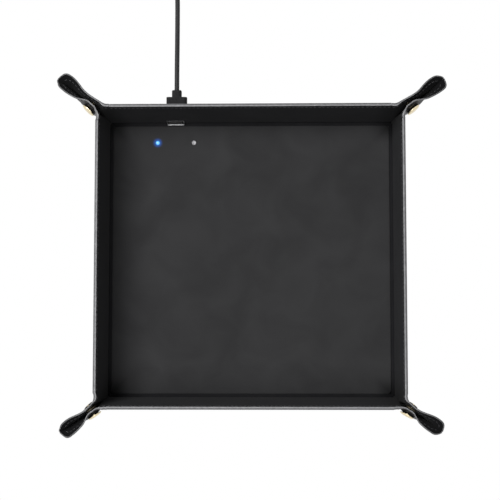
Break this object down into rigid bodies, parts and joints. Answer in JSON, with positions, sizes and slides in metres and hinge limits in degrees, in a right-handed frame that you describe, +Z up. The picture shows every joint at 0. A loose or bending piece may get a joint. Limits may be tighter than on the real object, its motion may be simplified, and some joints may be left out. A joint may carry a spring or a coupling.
{
  "type": "charging station organizer",
  "caption": "Square valet tray with snap-pinched corner ears, walls that unfold flat, a wireless charger in its base and a plug-in power lead.",
  "frame": {"origin": "centre of the underside of the base, below the middle of the tray without its lead", "axes": "+X to the right, +Y to the back wall where the lead plugs in, +Z up"},
  "size_m": [0.2774, 0.4518, 0.0503],
  "materials": {
    "leather_black": "pebbled PU leather, satin",
    "lining_black": "brushed microfibre",
    "greyboard": "pressed board, matte",
    "foam_core": "closed-cell foam, matte",
    "case_black": "moulded ABS",
    "ferrite": "sintered, matte",
    "copper_wire": "enamelled wire",
    "board_green": "solder mask",
    "brass_snap": "polished, plated",
    "port_metal": "plated steel",
    "port_black": "moulded",
    "lens_blue": "lit light pipe",
    "lens_clear": "unlit light pipe",
    "plug_metal": "plated shell",
    "cord_black": "PVC jacket, satin",
    "plug_black": "overmoulded PVC"
  },
  "bodies": {
    "root": {"base_leather": "leather_black", "base_core": "foam_core", "charger_case": "case_black", "charger_lid": "case_black", "ferrite_plate": "ferrite", "charging_coil": "copper_wire", "circuit_board": "board_green", "power_inlet": "plug_metal", "light_lens_left": "lens_blue", "light_lens_right": "lens_clear", "floor_board": "greyboard", "floor_lining": "lining_black"},
    "wall_back": {"wall_back_leather": "leather_black", "wall_back_board": "greyboard", "wall_back_lining": "lining_black", "port_shell": "port_metal", "port_insert": "port_black"},
    "wall_front": {"wall_front_leather": "leather_black", "wall_front_board": "greyboard", "wall_front_lining": "lining_black"},
    "wall_right": {"wall_right_leather": "leather_black", "wall_right_board": "greyboard", "wall_right_lining": "lining_black"},
    "wall_left": {"wall_left_leather": "leather_black", "wall_left_board": "greyboard", "wall_left_lining": "lining_black"},
    "ear_back_right_end": {"ear_back_right_end_leather": "leather_black", "ear_back_right_end_lining": "lining_black", "ear_back_right_end_snap": "brass_snap"},
    "ear_back_right_side": {"ear_back_right_side_leather": "leather_black", "ear_back_right_side_lining": "lining_black", "ear_back_right_side_snap": "brass_snap"},
    "ear_back_left_end": {"ear_back_left_end_leather": "leather_black", "ear_back_left_end_lining": "lining_black", "ear_back_left_end_snap": "brass_snap"},
    "ear_back_left_side": {"ear_back_left_side_leather": "leather_black", "ear_back_left_side_lining": "lining_black", "ear_back_left_side_snap": "brass_snap"},
    "ear_front_right_end": {"ear_front_right_end_leather": "leather_black", "ear_front_right_end_lining": "lining_black", "ear_front_right_end_snap": "brass_snap"},
    "ear_front_right_side": {"ear_front_right_side_leather": "leather_black", "ear_front_right_side_lining": "lining_black", "ear_front_right_side_snap": "brass_snap"},
    "ear_front_left_end": {"ear_front_left_end_leather": "leather_black", "ear_front_left_end_lining": "lining_black", "ear_front_left_end_snap": "brass_snap"},
    "ear_front_left_side": {"ear_front_left_side_leather": "leather_black", "ear_front_left_side_lining": "lining_black", "ear_front_left_side_snap": "brass_snap"},
    "lead": {"plug_shell": "plug_metal", "plug_overmould": "plug_black", "strain_relief": "plug_black", "power_cord": "cord_black", "cord_coil": "cord_black", "cord_tail": "cord_black", "far_strain_relief": "plug_black", "far_plug_body": "plug_black", "far_plug_shell": "plug_metal"}
  },
  "joints": [
    {"name": "fold_front", "type": "hinge", "parent": "root", "child": "wall_front", "pos_m": [0, -0.1021, 0.0099], "axis": [1, 0, 0], "range_deg": [0, 82.5]},
    {"name": "fold_back", "type": "hinge", "parent": "root", "child": "wall_back", "pos_m": [0, 0.1021, 0.0099], "axis": [-1, 0, 0], "range_deg": [0, 82.5]},
    {"name": "fold_right", "type": "hinge", "parent": "root", "child": "wall_right", "pos_m": [0.1055, 0, 0.0099], "axis": [0, 1, 0], "range_deg": [0, 84.5]},
    {"name": "fold_left", "type": "hinge", "parent": "root", "child": "wall_left", "pos_m": [-0.1055, 0, 0.0099], "axis": [0, -1, 0], "range_deg": [0, 84.5]},
    {"name": "open_back_right_end", "type": "hinge", "parent": "wall_back", "child": "ear_back_right_end", "pos_m": [0.10429, 0.10085, 0.0088], "axis": [0, -0.1305, -0.9914], "range_deg": [0, 31.76]},
    {"name": "open_back_right_side", "type": "hinge", "parent": "wall_right", "child": "ear_back_right_side", "pos_m": [0.10429, 0.10085, 0.0088], "axis": [0.0958, 0, 0.9954], "range_deg": [0, 49.28]},
    {"name": "open_back_left_end", "type": "hinge", "parent": "wall_back", "child": "ear_back_left_end", "pos_m": [-0.10429, 0.10085, 0.0088], "axis": [0, 0.1305, 0.9914], "range_deg": [0, 31.76]},
    {"name": "open_back_left_side", "type": "hinge", "parent": "wall_left", "child": "ear_back_left_side", "pos_m": [-0.10429, 0.10085, 0.0088], "axis": [0.0958, 0, -0.9954], "range_deg": [0, 49.28]},
    {"name": "open_front_right_end", "type": "hinge", "parent": "wall_front", "child": "ear_front_right_end", "pos_m": [0.10429, -0.10085, 0.0088], "axis": [0, -0.1305, 0.9914], "range_deg": [0, 31.76]},
    {"name": "open_front_right_side", "type": "hinge", "parent": "wall_right", "child": "ear_front_right_side", "pos_m": [0.10429, -0.10085, 0.0088], "axis": [-0.0958, 0, -0.9954], "range_deg": [0, 49.28]},
    {"name": "open_front_left_end", "type": "hinge", "parent": "wall_front", "child": "ear_front_left_end", "pos_m": [-0.10429, -0.10085, 0.0088], "axis": [0, 0.1305, -0.9914], "range_deg": [0, 31.76]},
    {"name": "open_front_left_side", "type": "hinge", "parent": "wall_left", "child": "ear_front_left_side", "pos_m": [-0.10429, -0.10085, 0.0088], "axis": [-0.0958, 0, 0.9954], "range_deg": [0, 49.28]},
    {"name": "plug_pull", "type": "slide", "parent": "root", "child": "lead", "axis": [0, 1, 0], "range_m": [0, 0.0075]}
  ],
  "couplings": [
    {"joint": "fold_back", "follows": "fold_front", "ratio": 1},
    {"joint": "fold_right", "follows": "fold_front", "ratio": 1.0242},
    {"joint": "fold_left", "follows": "fold_front", "ratio": 1.0242},
    {"joint": "open_back_right_end", "follows": "fold_front", "ratio": 0.38491},
    {"joint": "open_back_right_side", "follows": "fold_front", "ratio": 0.59738},
    {"joint": "open_back_left_end", "follows": "fold_front", "ratio": 0.38491},
    {"joint": "open_back_left_side", "follows": "fold_front", "ratio": 0.59738},
    {"joint": "open_front_right_end", "follows": "fold_front", "ratio": 0.38491},
    {"joint": "open_front_right_side", "follows": "fold_front", "ratio": 0.59738},
    {"joint": "open_front_left_end", "follows": "fold_front", "ratio": 0.38491},
    {"joint": "open_front_left_side", "follows": "fold_front", "ratio": 0.59738}
  ]
}
